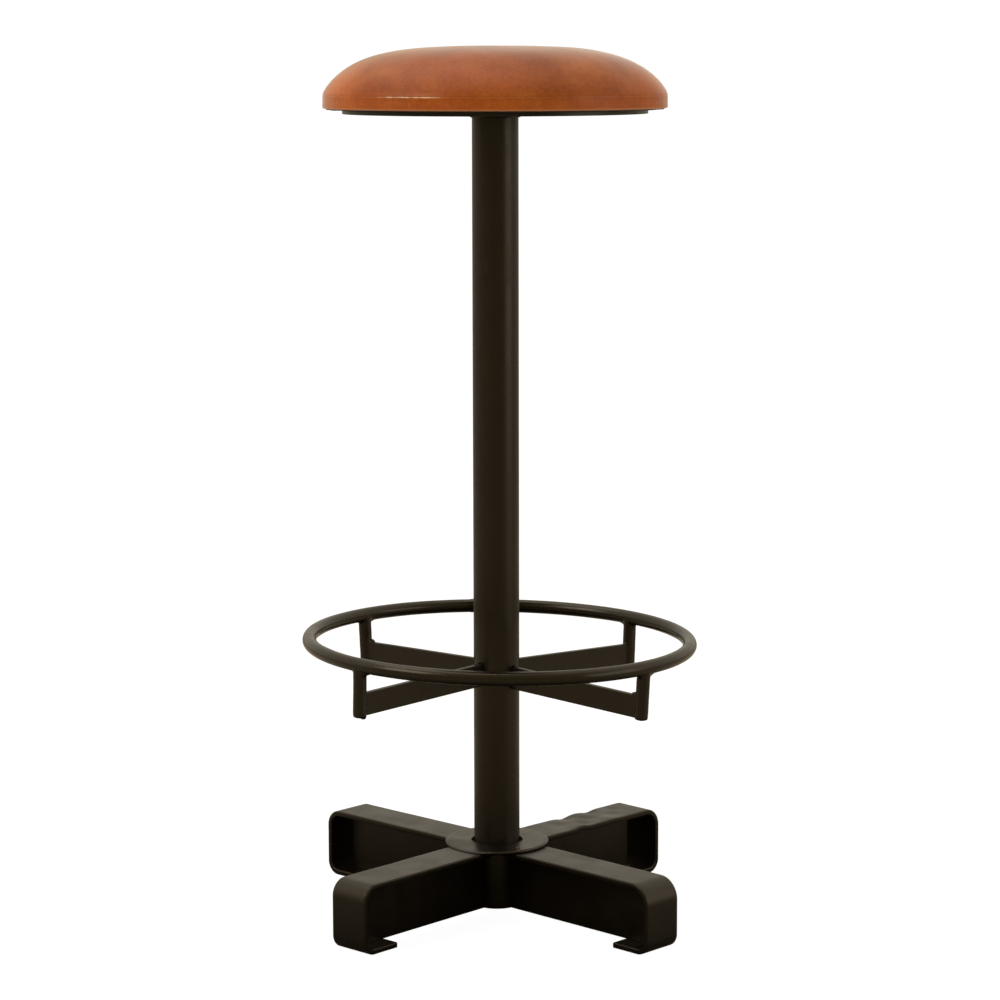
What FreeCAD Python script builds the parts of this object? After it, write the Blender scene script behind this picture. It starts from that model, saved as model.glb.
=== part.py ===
import FreeCAD, Part
import math
import os
from FreeCAD import Placement, Rotation, Vector

# Bar stool: a round leather seat on a single column, with a ring footrest and a base of
# four bent straps. Everything below the seat board is black painted steel, welded.
# Millimetres, +Z up. The origin is on the floor, on the column's axis.
# The stool's front is at -Y, and each arm stands on a diagonal.

# ---- driving dimensions ------------------------------------------------------------------

TOTAL_HEIGHT = 802.0

# column and collar
COLUMN_RADIUS = 21.2
COLUMN_WALL = 2.6
COLUMN_BOTTOM = 6.5
COLLAR_RADIUS = 48.2
COLLAR_THICKNESS = 2.8
FIT_GAP = 0.1

# base: straps of flat bar, bent down at the outer end and in again along the floor
PAD_THICKNESS = 1.5
PAD_WIDTH = 30.0
PAD_LENGTH = 20.0
PAD_CORNER = 4.0
PAD_SETBACK = 15.5
STRAP_WIDTH = 41.0
STRAP_THICKNESS = 5.0
BASE_TOP = 65.4
TOP_BEND_RADIUS = 17.0
FLOOR_BEND_RADIUS = 14.0
LIP_LENGTH = 41.0
STRAP_EDGE = 0.7
MITRE_HALF_ANGLE = 43.5
WEB_THICKNESS = 6.0
WEB_BOTTOM = 6.6

# Each base arm's direction, its reach, and the gap between its web and the strap's end wall.
# They differ a little from arm to arm, as on a stool that is welded by hand.
BASE_ARMS = {
    "front_right": (-45.5, 206.2, 12.0),
    "rear_right": (43.8, 204.0, 21.5),
    "rear_left": (135.9, 206.8, 12.0),
    "front_left": (226.1, 195.6, 12.0),
}

# footrest: a round ring on four short posts, carried by flat bars set on edge
RING_RADIUS = 176.3
RING_ROD_RADIUS = 6.5
RING_HEIGHT = 257.8
RING_SHIFT = 2.2
POST_RADIUS = 6.0
POST_FOOT = 1.0
REST_ARM_HEIGHT = 20.8
REST_ARM_THICKNESS = 5.0
REST_ARM_BOTTOM = 211.4
REST_ARM_EDGE = 0.6
FOOTREST_TILT = 0.94

# How far a post's foot is set inward of its top, for the posts that lean.
POST_LEAN = {"front_right": 2.4, "rear_right": 1.4, "rear_left": 4.4}

# Each footrest arm's direction, and how far it drops from the column to its post.
REST_ARMS = {
    "front_right": (-44.5, 3.5),
    "rear_right": (42.9, 5.1),
    "rear_left": (136.7, 5.0),
    "front_left": (224.1, 6.0),
}

# seat plate and its fastenings
PLATE_RADIUS = 138.4
PLATE_THICKNESS = 4.0
PLATE_BOTTOM = 742.5
PLATE_EDGE = 0.4
SCREW_CIRCLE_RADIUS = 100.0
SCREW_COUNT = 4
SCREW_RADIUS = 2.95
SCREW_LENGTH = 16.0
SCREW_HEAD_RADIUS = 6.4
SCREW_SOCKET = 4.0
SCREW_SOCKET_DEPTH = 2.0
SCREW_HOLE_RADIUS = 3.4
NUT_BORE_RADIUS = 3.0
NUT_BARREL_RADIUS = 4.0
NUT_FLANGE_RADIUS = 9.0
NUT_FLANGE_THICKNESS = 1.2
NUT_LENGTH = 8.5

# seat: board, domed foam, leather cover and dust cover
SEAT_RADIUS = 156.1
LEATHER_THICKNESS = 1.5
DUST_COVER_RADIUS = 152.8
DUST_COVER_THICKNESS = 0.8
BOARD_THICKNESS = 10.0
FOLD_INNER_RADIUS = 120.0
FOLD_CORNER = 1.4
DOME_RADIAL_POWER = 3.75
DOME_HEIGHT_POWER = 0.72
DOME_STATIONS = 12
STAPLE_COUNT = 24
STAPLE_CIRCLE_RADIUS = 145.8
STAPLE_CROWN = 10.0
STAPLE_WIRE_WIDTH = 1.0
STAPLE_WIRE_THICKNESS = 0.5
STAPLE_LEG = 6.0

# ---- worked out from them ----------------------------------------------------------------

STRAP_BOTTOM = PAD_THICKNESS
COLLAR_BOTTOM = BASE_TOP
PLATE_TOP = PLATE_BOTTOM + PLATE_THICKNESS
FOLD_BOTTOM = PLATE_TOP + DUST_COVER_THICKNESS
BOARD_BOTTOM = FOLD_BOTTOM + LEATHER_THICKNESS
BOARD_TOP = BOARD_BOTTOM + BOARD_THICKNESS
BOARD_RADIUS = SEAT_RADIUS - LEATHER_THICKNESS
DOME_HEIGHT = TOTAL_HEIGHT - BOARD_TOP

UP = Vector(0, 0, 1)
ORIGIN = Vector(0, 0, 0)


# ---- helpers -----------------------------------------------------------------------------

def cylinder(radius, bottom, height, centre=(0.0, 0.0)):
    return Part.makeCylinder(radius, height, Vector(centre[0], centre[1], bottom), UP)


def tube(outer, inner, bottom, height):
    return cylinder(outer, bottom, height).cut(cylinder(inner, bottom, height))


def turned(shape, degrees):
    """The shape turned about the column's axis."""
    result = shape.copy()
    result.rotate(ORIGIN, UP, degrees)
    return result


def bar(start, end, width, bottom, top):
    """A rectangular bar along +X, centred on the X axis."""
    return Part.makeBox(end - start, width, top - bottom, Vector(start, -width / 2, bottom))


def on_circle(radius, count, phase=0.0):
    """Evenly spaced (x, y, angle in degrees) on a circle round the column."""
    for i in range(count):
        angle = phase + 360.0 * i / count
        turn = math.radians(angle)
        yield radius * math.cos(turn), radius * math.sin(turn), angle


def revolved(edges):
    """A solid of revolution from edges that close in the XZ plane."""
    face = Part.Face(Part.Wire(edges))
    return face.revolve(ORIGIN, UP, 360)


def eased(shape, radius, chosen):
    """The shape with a small fillet on each edge that chosen() accepts."""
    return shape.makeFillet(radius, [e for e in shape.Edges if chosen(e)])


def is_level(value, target):
    return abs(value - target) < 1e-4


# ---- column, collar and base -------------------------------------------------------------

def column_tube():
    return tube(COLUMN_RADIUS, COLUMN_RADIUS - COLUMN_WALL, COLUMN_BOTTOM, PLATE_BOTTOM - COLUMN_BOTTOM)


def collar_disc():
    disc = tube(COLLAR_RADIUS, COLUMN_RADIUS + FIT_GAP, COLLAR_BOTTOM, COLLAR_THICKNESS)
    rim = [e for e in disc.Edges
           if is_level(e.BoundBox.XLength, 2 * COLLAR_RADIUS) and e.BoundBox.ZLength < 1e-4]
    return disc.makeFillet(STRAP_EDGE, rim)


def strap_outline(reach):
    """Closed outline in the XZ plane: along the top, down the outer end and in along the floor."""
    low, high, thick = STRAP_BOTTOM, BASE_TOP, STRAP_THICKNESS
    tip = reach - LIP_LENGTH
    edges = []

    def point(x, z):
        return Vector(x, 0, z)

    def line(a, b):
        edges.append(Part.LineSegment(point(*a), point(*b)).toShape())

    def bend(centre, radius, first, last):
        """A quarter turn about centre from one angle to the other."""
        spots = [math.radians(a) for a in (first, (first + last) / 2, last)]
        places = [point(centre[0] + radius * math.cos(s), centre[1] + radius * math.sin(s)) for s in spots]
        edges.append(Part.Arc(*places).toShape())

    top_centre = (reach - TOP_BEND_RADIUS, high - TOP_BEND_RADIUS)
    floor_centre = (reach - FLOOR_BEND_RADIUS, low + FLOOR_BEND_RADIUS)
    line((0, high), (top_centre[0], high))
    bend(top_centre, TOP_BEND_RADIUS, 90, 0)
    line((reach, top_centre[1]), (reach, floor_centre[1]))
    bend(floor_centre, FLOOR_BEND_RADIUS, 0, -90)
    line((floor_centre[0], low), (tip, low))
    line((tip, low), (tip, low + thick))
    line((tip, low + thick), (floor_centre[0], low + thick))
    bend(floor_centre, FLOOR_BEND_RADIUS - thick, -90, 0)
    line((reach - thick, floor_centre[1]), (reach - thick, top_centre[1]))
    bend(top_centre, TOP_BEND_RADIUS - thick, 0, 90)
    line((top_centre[0], high - thick), (0, high - thick))
    line((0, high - thick), (0, high))
    return Part.Wire(edges)


def mitre_wedge(reach):
    """The sector that one strap may fill, so that neighbours meet without overlapping."""
    half = math.radians(MITRE_HALF_ANGLE)
    far = 2 * reach
    corners = [Vector(0, 0, 0), Vector(far, -far * math.tan(half), 0), Vector(far, far * math.tan(half), 0)]
    return Part.Face(Part.makePolygon(corners + corners[:1])).extrude(Vector(0, 0, 2 * BASE_TOP))


def base_strap(angle, reach):
    profile = Part.Face(strap_outline(reach))
    solid = profile.extrude(Vector(0, STRAP_WIDTH, 0))
    solid.translate(Vector(0, -STRAP_WIDTH / 2, 0))

    def along_side(edge):
        box = edge.BoundBox
        on_side = is_level(abs(box.YMin), STRAP_WIDTH / 2) and box.YLength < 1e-4
        return on_side and box.XMax > 1.0

    solid = eased(solid, STRAP_EDGE, along_side)
    solid = solid.common(mitre_wedge(reach)).cut(cylinder(COLUMN_RADIUS, 0, 2 * BASE_TOP))
    return turned(solid, angle)


def base_web(angle, reach, end_gap):
    end = reach - STRAP_THICKNESS - end_gap
    plate = bar(0, end, WEB_THICKNESS, WEB_BOTTOM, BASE_TOP - STRAP_THICKNESS)
    return turned(plate.cut(cylinder(COLUMN_RADIUS, 0, BASE_TOP)), angle)


def floor_pad(angle, reach):
    pad = bar(reach - PAD_SETBACK - PAD_LENGTH, reach - PAD_SETBACK, PAD_WIDTH, 0, PAD_THICKNESS)
    return turned(eased(pad, PAD_CORNER, lambda e: is_level(e.BoundBox.ZLength, PAD_THICKNESS)), angle)


# ---- footrest ----------------------------------------------------------------------------
# It is built level and then tilted as one, the way it sits on the column.

FOOTREST_PLACE = Placement(ORIGIN, Rotation(Vector(0, 1, 0), FOOTREST_TILT),
                           Vector(0, 0, REST_ARM_BOTTOM))


def tilted(shape):
    result = shape.copy()
    result.Placement = FOOTREST_PLACE.multiply(result.Placement)
    return result


def level_ring():
    return Part.makeTorus(RING_RADIUS, RING_ROD_RADIUS, Vector(RING_SHIFT, 0, RING_HEIGHT), UP)


def post_top(name):
    """Where the middle of a post meets the ring."""
    turn = math.radians(REST_ARMS[name][0])
    return RING_RADIUS * math.cos(turn) + RING_SHIFT, RING_RADIUS * math.sin(turn)


def level_post(name):
    x, y = post_top(name)
    inward = 1 - POST_LEAN.get(name, 0.0) / math.hypot(x, y)
    foot = Vector(x * inward, y * inward, REST_ARM_BOTTOM - POST_FOOT)
    axis = Vector(x, y, RING_HEIGHT) - foot
    post = Part.makeCylinder(POST_RADIUS, axis.Length, foot, axis)
    return post.cut(level_ring())


def level_rest_arm(name):
    """A flat bar on edge that drops a little from the column to its post."""
    x, y = post_top(name)
    length = math.hypot(x, y)
    rise = REST_ARMS[name][1] * length / (length - COLUMN_RADIUS)
    side = -REST_ARM_THICKNESS / 2
    corners = [
        Vector(0, side, REST_ARM_BOTTOM + rise),
        Vector(length, side, REST_ARM_BOTTOM),
        Vector(length, side, REST_ARM_BOTTOM + REST_ARM_HEIGHT),
        Vector(0, side, REST_ARM_BOTTOM + REST_ARM_HEIGHT + rise),
    ]
    face = Part.Face(Part.makePolygon(corners + corners[:1]))
    rod = face.extrude(Vector(0, REST_ARM_THICKNESS, 0))

    def along_bar(edge):
        return is_level(edge.BoundBox.XLength, length)

    rod = turned(eased(rod, REST_ARM_EDGE, along_bar), math.degrees(math.atan2(y, x)))
    return rod.cut(level_post(name))


def footrest_arm(name):
    return tilted(level_rest_arm(name)).cut(cylinder(COLUMN_RADIUS, 0, PLATE_BOTTOM))


# ---- seat --------------------------------------------------------------------------------

def dome_curve(radius, bottom, height):
    """The dome's outline from its rim to its crown: steep shoulders and a nearly flat top."""
    points = []
    for i in range(DOME_STATIONS + 1):
        share = math.sin(math.pi / 2 * (DOME_STATIONS - i) / DOME_STATIONS)
        rise = (1 - share ** DOME_RADIAL_POWER) ** DOME_HEIGHT_POWER
        points.append(Vector(radius * share, 0, bottom + height * rise))
    curve = Part.BSplineCurve()
    curve.interpolate(points)
    return curve.toShape()


def dome_solid(radius, bottom, rim, top, corner):
    """A domed disc: a flat base, an upright rim with a rounded lower corner, and the dome."""
    base = Vector(0, 0, bottom)
    inner = Vector(radius - corner, 0, bottom)
    outer = Vector(radius, 0, bottom + corner)
    bulge = corner * (1 - math.sqrt(0.5))
    edges = [Part.LineSegment(base, inner).toShape()]
    edges.append(Part.Arc(inner, Vector(radius - bulge, 0, bottom + bulge), outer).toShape())
    edges.append(Part.LineSegment(outer, Vector(radius, 0, rim)).toShape())
    edges.append(dome_curve(radius, rim, top - rim))
    edges.append(Part.LineSegment(Vector(0, 0, top), base).toShape())
    return revolved(edges)


def seat_foam():
    return revolved([
        Part.LineSegment(Vector(0, 0, BOARD_TOP), Vector(BOARD_RADIUS, 0, BOARD_TOP)).toShape(),
        dome_curve(BOARD_RADIUS, BOARD_TOP, DOME_HEIGHT - LEATHER_THICKNESS),
        Part.LineSegment(Vector(0, 0, TOTAL_HEIGHT - LEATHER_THICKNESS), Vector(0, 0, BOARD_TOP)).toShape(),
    ])


def seat_cover():
    hide = dome_solid(SEAT_RADIUS, FOLD_BOTTOM, BOARD_TOP, TOTAL_HEIGHT, FOLD_CORNER)
    hide = hide.cut(seat_foam())
    hide = hide.cut(cylinder(BOARD_RADIUS, BOARD_BOTTOM, BOARD_THICKNESS))
    hide = hide.cut(cylinder(FOLD_INNER_RADIUS, FOLD_BOTTOM, LEATHER_THICKNESS))
    return hide.cut(staples())


def seat_board():
    board = cylinder(BOARD_RADIUS, BOARD_BOTTOM, BOARD_THICKNESS)
    for x, y, _ in on_circle(SCREW_CIRCLE_RADIUS, SCREW_COUNT):
        board = board.cut(cylinder(NUT_BARREL_RADIUS, BOARD_BOTTOM, BOARD_THICKNESS, (x, y)))
        pocket = BOARD_TOP - NUT_FLANGE_THICKNESS
        board = board.cut(cylinder(NUT_FLANGE_RADIUS, pocket, NUT_FLANGE_THICKNESS, (x, y)))
    return board.cut(staples())


def dust_cover():
    cloth = cylinder(DUST_COVER_RADIUS, PLATE_TOP, DUST_COVER_THICKNESS)
    for x, y, _ in on_circle(SCREW_CIRCLE_RADIUS, SCREW_COUNT):
        cloth = cloth.cut(cylinder(SCREW_HOLE_RADIUS, PLATE_TOP, DUST_COVER_THICKNESS, (x, y)))
    return cloth.cut(staples())


def screw_head_cone(end_radius, x, y):
    """A 90 degree cone that starts at the screw head's full radius, flush with the plate's underside."""
    height = SCREW_HEAD_RADIUS - end_radius
    return Part.makeCone(SCREW_HEAD_RADIUS, end_radius, height, Vector(x, y, PLATE_BOTTOM), UP)


def seat_plate():
    """The plate, countersunk from below for its screws."""
    plate = cylinder(PLATE_RADIUS, PLATE_BOTTOM, PLATE_THICKNESS)
    plate = eased(plate, PLATE_EDGE, lambda e: is_level(e.BoundBox.XLength, 2 * PLATE_RADIUS))
    for x, y, _ in on_circle(SCREW_CIRCLE_RADIUS, SCREW_COUNT):
        plate = plate.cut(cylinder(SCREW_HOLE_RADIUS, PLATE_BOTTOM, PLATE_THICKNESS, (x, y)))
        plate = plate.cut(screw_head_cone(SCREW_HOLE_RADIUS, x, y))
    return plate


def staple(x, y, angle):
    """A U of flat wire: its crown lies under the dust cover and its legs stand in the board."""
    half = STAPLE_CROWN / 2
    wide, thick = STAPLE_WIRE_WIDTH, STAPLE_WIRE_THICKNESS
    crown_bottom = PLATE_TOP - thick
    crown = Part.makeBox(wide, STAPLE_CROWN, thick, Vector(-wide / 2, -half, crown_bottom))
    result = crown
    for side in (-half, half - thick):
        leg = Part.makeBox(wide, thick, STAPLE_LEG, Vector(-wide / 2, side, crown_bottom))
        result = result.fuse(leg)
    result = result.removeSplitter()
    result.rotate(ORIGIN, UP, angle)
    result.translate(Vector(x, y, 0))
    return result


def staples():
    phase = 180.0 / STAPLE_COUNT
    return Part.makeCompound([staple(*spot) for spot in on_circle(STAPLE_CIRCLE_RADIUS, STAPLE_COUNT, phase)])


def tee_nuts():
    """Flanged barrels let into the board's top, one over each screw."""
    made = []
    for x, y, _ in on_circle(SCREW_CIRCLE_RADIUS, SCREW_COUNT):
        flange = cylinder(NUT_FLANGE_RADIUS, BOARD_TOP - NUT_FLANGE_THICKNESS, NUT_FLANGE_THICKNESS, (x, y))
        barrel = cylinder(NUT_BARREL_RADIUS, BOARD_TOP - NUT_LENGTH, NUT_LENGTH, (x, y))
        bore = cylinder(NUT_BORE_RADIUS, BOARD_TOP - NUT_LENGTH, NUT_LENGTH, (x, y))
        made.append(flange.fuse(barrel).removeSplitter().cut(bore))
    return Part.makeCompound(made)


def hexagon(across, bottom, height, centre):
    """A hexagonal prism, across its flats."""
    corner = across / math.sqrt(3)
    spots = [Vector(centre[0] + x, centre[1] + y, bottom) for x, y, _ in on_circle(corner, 6)]
    return Part.Face(Part.makePolygon(spots + spots[:1])).extrude(Vector(0, 0, height))


def seat_screws():
    """Countersunk screws with a hexagon socket, driven up from under the plate and flush with it."""
    made = []
    for x, y, _ in on_circle(SCREW_CIRCLE_RADIUS, SCREW_COUNT):
        shank = cylinder(SCREW_RADIUS, PLATE_BOTTOM, SCREW_LENGTH, (x, y))
        head = screw_head_cone(SCREW_RADIUS, x, y)
        socket = hexagon(SCREW_SOCKET, PLATE_BOTTOM, SCREW_SOCKET_DEPTH, (x, y))
        made.append(head.fuse(shank).removeSplitter().cut(socket))
    return Part.makeCompound(made)


# ---- the whole stool ---------------------------------------------------------------------

def stool_nodes():
    nodes = {
        "seat_cover": seat_cover(),
        "seat_foam": seat_foam(),
        "seat_board": seat_board(),
        "tee_nuts": tee_nuts(),
        "staples": staples(),
        "dust_cover": dust_cover(),
        "seat_plate": seat_plate(),
        "seat_screws": seat_screws(),
        "column_tube": column_tube(),
        "collar_disc": collar_disc(),
        "footrest_ring": tilted(level_ring()),
    }
    for name in REST_ARMS:
        nodes["footrest_post_" + name] = tilted(level_post(name))
        nodes["footrest_arm_" + name] = footrest_arm(name)
    for name, (angle, reach, end_gap) in BASE_ARMS.items():
        nodes["base_strap_" + name] = base_strap(angle, reach)
        nodes["base_web_" + name] = base_web(angle, reach, end_gap)
        nodes["floor_pad_" + name] = floor_pad(angle, reach)
    return nodes


os.makedirs("parts", exist_ok=True)
for node, solid in stool_nodes().items():
    solid.exportStep(os.path.join("parts", node + ".step"))
    print(node, len(solid.Solids), "solid(s)", round(solid.Volume / 1000, 2), "cm3", "valid", solid.isValid())
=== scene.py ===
import math

import bmesh
import bpy
from mathutils import Matrix, Vector, noise


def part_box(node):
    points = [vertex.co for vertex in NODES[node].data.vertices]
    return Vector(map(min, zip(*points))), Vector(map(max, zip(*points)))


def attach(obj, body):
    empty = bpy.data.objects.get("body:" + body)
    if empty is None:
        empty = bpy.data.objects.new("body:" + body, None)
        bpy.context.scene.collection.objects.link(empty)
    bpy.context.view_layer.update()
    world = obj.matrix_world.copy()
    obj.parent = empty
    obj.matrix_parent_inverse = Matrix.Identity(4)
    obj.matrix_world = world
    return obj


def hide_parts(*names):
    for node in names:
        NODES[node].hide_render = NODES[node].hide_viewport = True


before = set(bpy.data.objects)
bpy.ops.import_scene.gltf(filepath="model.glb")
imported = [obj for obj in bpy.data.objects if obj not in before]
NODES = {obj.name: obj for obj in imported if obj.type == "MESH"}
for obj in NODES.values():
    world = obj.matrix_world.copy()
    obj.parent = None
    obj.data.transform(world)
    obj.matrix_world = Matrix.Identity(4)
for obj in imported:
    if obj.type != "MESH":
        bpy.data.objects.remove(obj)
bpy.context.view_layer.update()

# A bar stool: a waxed leather seat on one painted steel column, with a ring footrest and a base
# of four bent straps. The steel comes from the CAD frame; this script adds the leather, the dust
# cover, the weld beads, the hoop and the hammered straps, and every finish.
# Metres, +Z up, the stool's front at -Y.

MM = 0.001
ARMS = ("front_right", "rear_right", "rear_left", "front_left")
UP = Vector((0, 0, 1))

# ---- sizes read from the frame ----


def half_width(node):
    low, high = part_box(node)
    return (high.x - low.x) / 2


COLUMN_RADIUS = half_width("column_tube")
SEAT_LOW, SEAT_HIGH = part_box("seat_cover")
SEAT_RADIUS = half_width("seat_cover")
BOARD_LOW, BOARD_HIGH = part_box("seat_board")
BOARD_RADIUS = half_width("seat_board")
PLATE_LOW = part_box("seat_plate")[0]
PLATE_RADIUS = half_width("seat_plate")
CLOTH_LOW, CLOTH_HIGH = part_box("dust_cover")
CLOTH_RADIUS = half_width("dust_cover")
COLLAR_LOW, COLLAR_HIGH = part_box("collar_disc")
COLLAR_RADIUS = half_width("collar_disc")
BASE_TOP = COLLAR_LOW.z


# ---- mesh helpers ----


def wave(point, scale, seed):
    """Smooth noise from -1 to 1 that is the same on every run."""
    return noise.noise(Vector(point) * scale + Vector((seed * 7.31, seed * 3.17, seed * 5.93)))


def wave_round(turn, level, scale, seed):
    """Smooth noise round the column's axis, which closes on itself after a full turn."""
    return wave((math.cos(turn), math.sin(turn), level), scale, seed)


def smoothstep(low, high, value):
    t = min(1.0, max(0.0, (value - low) / (high - low)))
    return t * t * (3 - 2 * t)


def polar(turn, radius=1.0, height=0.0):
    """A point at a turn about the column's axis."""
    return Vector((radius * math.cos(turn), radius * math.sin(turn), height))


def mesh_object(name, points, faces, *materials):
    mesh = bpy.data.meshes.new(name)
    mesh.from_pydata([tuple(p) for p in points], [], faces)
    for material in materials:
        mesh.materials.append(material)
    made = bpy.data.objects.new(name, mesh)
    bpy.context.scene.collection.objects.link(made)
    return made


def make_piece(name, points, faces, material, slot):
    """A smooth-shaded piece of the stool, with its faces turned outward."""
    piece = mesh_object(name, points, faces, material)
    bm = bmesh.new()
    bm.from_mesh(piece.data)
    bmesh.ops.recalc_face_normals(bm, faces=bm.faces)
    bm.to_mesh(piece.data)
    bm.free()
    for polygon in piece.data.polygons:
        polygon.use_smooth = True
    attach(piece, "root")
    return piece


def band_faces(first, second):
    """Quads between two closed rows of vertex indices of the same length."""
    count = len(first)
    return [(first[i], first[(i + 1) % count], second[(i + 1) % count], second[i]) for i in range(count)]


def tube_solid(sections, closed):
    """Points and faces of a closed tube through loops of points, with end caps unless it is a ring."""
    points, rows, faces = [], [], []
    for loop in sections:
        rows.append(list(range(len(points), len(points) + len(loop))))
        points.extend(loop)
    for a, b in zip(rows, rows[1:]):
        faces += band_faces(a, b)
    if closed:
        faces += band_faces(rows[-1], rows[0])
    else:
        for row in (rows[0], rows[-1]):
            middle = sum((Vector(points[i]) for i in row), Vector()) / len(row)
            points.append(middle)
            faces += [(row[i], row[(i + 1) % len(row)], len(points) - 1) for i in range(len(row))]
    return points, faces


# ---- materials ----


class Nodes:
    """Short ways to add and join nodes in one tree."""

    def __init__(self, tree, place):
        self.tree = tree
        self.place = self.node("ShaderNodeTexCoord").outputs[place]

    def feed(self, socket, value):
        """Link another node's output to a socket, or set its plain value."""
        if isinstance(value, bpy.types.NodeSocket):
            self.tree.links.new(value, socket)
        else:
            socket.default_value = value

    def node(self, kind, inputs=None, **settings):
        made = self.tree.nodes.new(kind)
        for key, value in settings.items():
            setattr(made, key, value)
        for socket, value in (inputs or {}).items():
            self.feed(made.inputs[socket], value)
        return made

    def stretched(self, scale, rotation=(0, 0, 0)):
        made = self.node("ShaderNodeMapping", {"Vector": self.place, "Scale": scale, "Rotation": rotation})
        return made.outputs["Vector"]

    def noise(self, scale, detail=3.0, roughness=0.5, distortion=0.0, vector=None):
        made = self.node("ShaderNodeTexNoise", {
            "Vector": vector or self.place, "Scale": scale, "Detail": detail,
            "Roughness": roughness, "Distortion": distortion})
        return made.outputs["Fac"]

    def cells(self, scale, feature="F1", randomness=1.0, vector=None):
        made = self.node("ShaderNodeTexVoronoi", {
            "Vector": vector or self.place, "Scale": scale, "Randomness": randomness}, feature=feature)
        return made.outputs["Distance"]

    def ranged(self, value, low, high, new_low, new_high):
        made = self.node("ShaderNodeMapRange", {
            "Value": value, "From Min": low, "From Max": high, "To Min": new_low, "To Max": new_high})
        return made.outputs["Result"]

    def math(self, operation, first, second):
        made = self.node("ShaderNodeMath", operation=operation)
        for socket, value in zip(made.inputs, (first, second)):
            self.feed(socket, value)
        return made.outputs["Value"]

    def ramp(self, value, stops):
        made = self.node("ShaderNodeValToRGB", {"Fac": value})
        elements = made.color_ramp.elements
        while len(elements) < len(stops):
            elements.new(0.5)
        for element, (position, colour) in zip(elements, stops):
            element.position = position
            element.color = (*colour, 1.0)
        return made.outputs["Color"]

    def mixed(self, factor, first, second, blend="MIX"):
        made = self.node("ShaderNodeMix", data_type="RGBA", blend_type=blend)
        for name, value in (("Factor", factor), ("A", first), ("B", second)):
            kind = "VALUE" if name == "Factor" else "RGBA"
            socket = next(s for s in made.inputs if s.name == name and s.type == kind)
            self.feed(socket, (*value, 1.0) if isinstance(value, tuple) else value)
        return next(s for s in made.outputs if s.type == "RGBA")


class Finish(Nodes):
    """A material under construction: a Principled shader with its constants set on its own sockets."""

    def __init__(self, name, **constants):
        self.material = bpy.data.materials.new(name)
        self.material.use_nodes = True
        super().__init__(self.material.node_tree, "Object")
        self.shader = self.tree.nodes["Principled BSDF"]
        for socket, value in constants.items():
            self.shader.inputs[socket.replace("_", " ")].default_value = value

    def heights(self):
        """The height above the floor of each point on the piece."""
        return self.node("ShaderNodeSeparateXYZ", {"Vector": self.place}).outputs["Z"]

    def bumped(self, height, strength, distance, below=None):
        inputs = {"Height": height, "Strength": strength, "Distance": distance}
        if below is not None:
            inputs["Normal"] = below
        return self.node("ShaderNodeBump", inputs).outputs["Normal"]

    def set(self, socket, value):
        self.tree.links.new(value, self.shader.inputs[socket])


def frame_paint(name, smoothest, roughest):
    """Satin black-brown stove paint: faint orange peel, dull patches, and a painted edge highlight in spots
    along the edges.
    """
    f = Finish(name, IOR=1.42, Specular_Tint=(1.0, 0.86, 0.66, 1.0))
    patches = f.noise(16.0, 4.0, 0.6)
    body = f.ramp(patches, [(0.3, (0.0018, 0.0011, 0.0005)), (0.6, (0.0032, 0.0020, 0.0009)),
                            (0.85, (0.0065, 0.0042, 0.0020))])
    soft_edge = f.node("ShaderNodeBevel", {"Radius": 0.9 * MM}, samples=6).outputs["Normal"]
    flat = f.node("ShaderNodeNewGeometry").outputs["Normal"]
    edge = f.node("ShaderNodeVectorMath", {0: soft_edge, 1: flat}, operation="DOT_PRODUCT").outputs["Value"]
    spots = f.ranged(f.noise(90.0, 5.0), 0.46, 0.66, 0.0, 1.0)
    # Painted highlight: a lighter brown is mixed in along the edges, broken into spots, standing in for light
    # catching the edges; those spots are also a little rougher.
    painted_light_and_patches = f.math("MULTIPLY", f.ranged(edge, 0.995, 0.86, 0.0, 1.0), spots)
    f.set("Base Color", f.mixed(painted_light_and_patches, body, (0.022, 0.014, 0.008)))
    dull = f.noise(42.0, 5.0, 0.62)
    rough = f.ranged(dull, 0.3, 0.7, smoothest, roughest)
    f.set("Roughness", f.math("ADD", rough, f.math("MULTIPLY", painted_light_and_patches, 0.08)))
    rolled = f.bumped(f.noise(120.0, 2.0), 0.20, 0.5 * MM, soft_edge)
    f.set("Normal", f.bumped(f.noise(620.0, 2.0, 0.55), 0.10, 0.25 * MM, rolled))
    return f.material


def paint_overspray():
    """The dry, matt paint that reached the inside of the bends."""
    f = Finish("paint_overspray", IOR=1.30, Specular_IOR_Level=0.12, Specular_Tint=(1.0, 0.80, 0.55, 1.0))
    dust = f.noise(260.0, 5.0, 0.7)
    f.set("Base Color", f.ramp(dust, [(0.35, (0.0014, 0.0009, 0.0005)), (0.75, (0.0050, 0.0034, 0.0018))]))
    f.set("Roughness", f.ranged(dust, 0.3, 0.7, 0.78, 0.95))
    f.set("Normal", f.bumped(dust, 0.35, 0.2 * MM))
    return f.material


# How far left of the middle the painted glint on the ridge of the seat lies, with the smoother leather under
# it.
GLINT_LEFT = 76 * MM


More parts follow.
